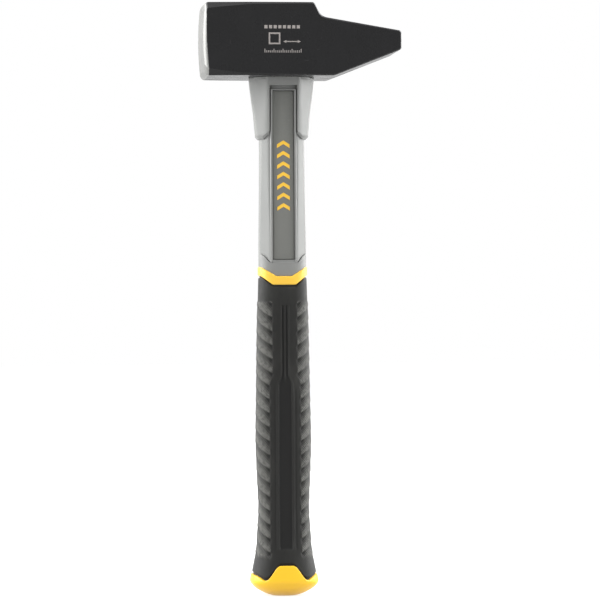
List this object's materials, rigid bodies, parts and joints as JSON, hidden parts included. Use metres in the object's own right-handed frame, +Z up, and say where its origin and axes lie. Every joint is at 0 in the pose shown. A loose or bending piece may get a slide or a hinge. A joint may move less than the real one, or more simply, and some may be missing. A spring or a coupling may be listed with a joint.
{
  "type": "cross-peen hammer",
  "caption": "Heavy cross-peen hammer: square-faced forged head with a stepped peen, on a glass-fibre handle with a moulded jacket, flared guard, rubber grip and butt cap.",
  "frame": {"origin": "middle of the small flat under the butt, on the handle's axis", "axes": "+Z up along the handle to the head, -X towards the striking face and +X towards the peen, Y through the handle's thickness"},
  "size_m": [0.1235, 0.045, 0.3655],
  "materials": {
    "forged_steel": "satin black lacquer on forged steel, striking face and peen edge ground bright",
    "cast_epoxy": "cast, slightly glossy",
    "gasket_rubber": "matt",
    "glass_fibre": "sawn pultruded rod",
    "grey_jacket": "fine moulded texture, mid grey",
    "grey_guard": "fine moulded texture, mid grey",
    "dark_inlay": "fine moulded texture, mid grey with plain yellow marks",
    "yellow_plastic": "semi-gloss yellow",
    "black_rubber": "matt black rubber, ribbed on both flanks",
    "yellow_butt": "semi-gloss yellow"
  },
  "bodies": {
    "root": {"hammer_head": "forged_steel", "eye_resin": "cast_epoxy", "eye_gasket": "gasket_rubber", "fibre_core": "glass_fibre", "handle_jacket": "grey_jacket", "overstrike_guard": "grey_guard", "panel_front": "dark_inlay", "panel_back": "dark_inlay", "grip_ring": "yellow_plastic", "rubber_grip": "black_rubber", "butt_cap": "yellow_butt"}
  },
  "joints": []
}
